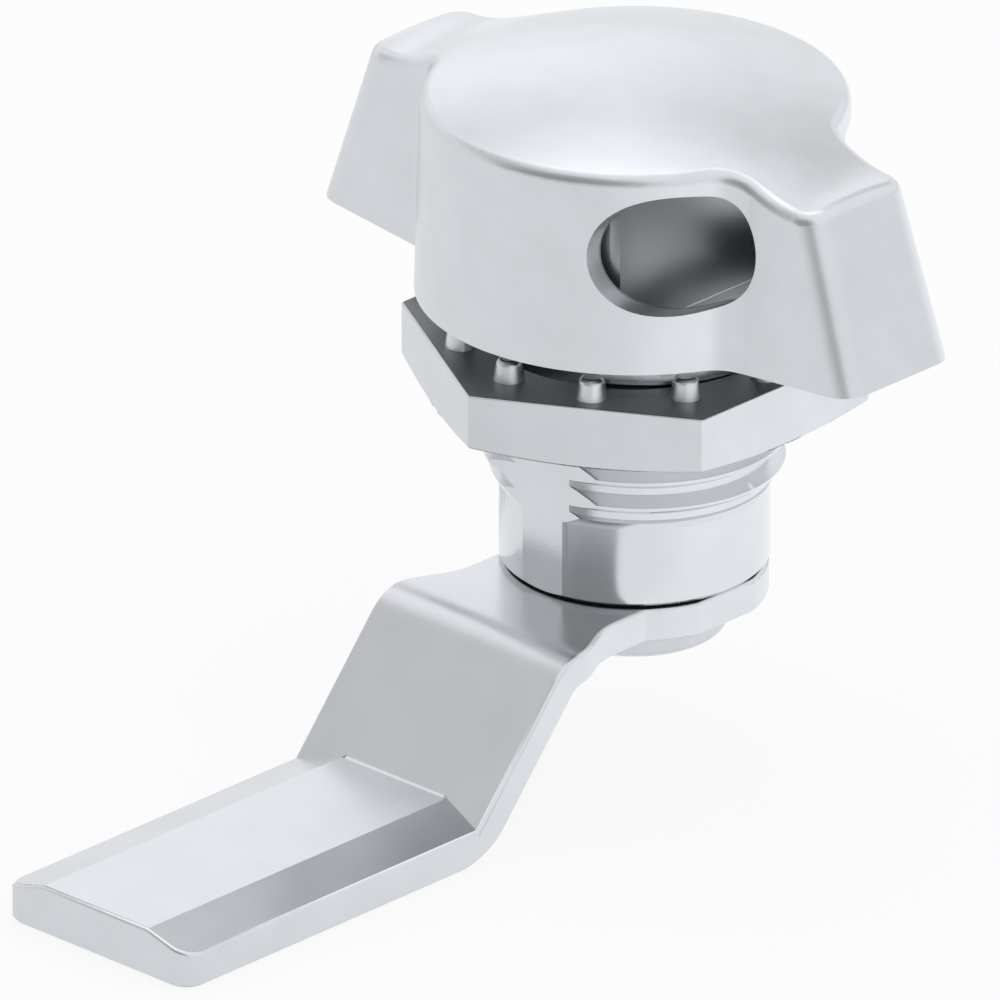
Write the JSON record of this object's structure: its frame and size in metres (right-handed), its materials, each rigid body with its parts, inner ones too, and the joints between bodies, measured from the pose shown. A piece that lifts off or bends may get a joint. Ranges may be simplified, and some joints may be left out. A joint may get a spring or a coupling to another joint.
{
  "type": "wing knob latch",
  "caption": "Quarter-turn cabinet latch with a padlockable wing knob, threaded barrel, earthing nut and cranked cam.",
  "frame": {"origin": "on the latch axis, in the plane of the panel's front face, where the flange's underside rests", "axes": "+Z along the latch axis out of the panel towards the user, +X along the wing with the padlock hole, -Y along the closed cam"},
  "size_m": [0.053, 0.0731, 0.0518],
  "materials": {
    "knob_satin_chrome": "satin chrome on die-cast zinc",
    "barrel_chrome": "bright chrome on die-cast zinc",
    "seal_rubber": "matt black rubber",
    "nut_zinc_plate": "satin bright plating",
    "inner_steel": "plain turned steel",
    "cam_plated_steel": "bright plated steel",
    "screw_steel": "bright zinc-plated steel"
  },
  "bodies": {
    "fixed": {"housing": "barrel_chrome", "flange_seal": "seal_rubber", "wave_washer": "inner_steel"},
    "rotor": {"wing_knob": "knob_satin_chrome", "spindle": "inner_steel", "stop_pin": "inner_steel", "spindle_seal": "seal_rubber", "retaining_ring": "inner_steel", "cam": "cam_plated_steel", "lock_washer": "screw_steel", "cam_screw": "screw_steel"},
    "nut": {"hex_nut": "nut_zinc_plate"}
  },
  "joints": [
    {"name": "knob_turn", "type": "hinge", "parent": "fixed", "child": "rotor", "pos_m": [0, 0, 0], "axis": [0, 0, 1], "range_deg": [0, 90]},
    {"name": "nut_travel", "type": "slide", "parent": "fixed", "child": "nut", "axis": [0, 0, 1], "range_m": [-0.0047, 0.0012]}
  ]
}
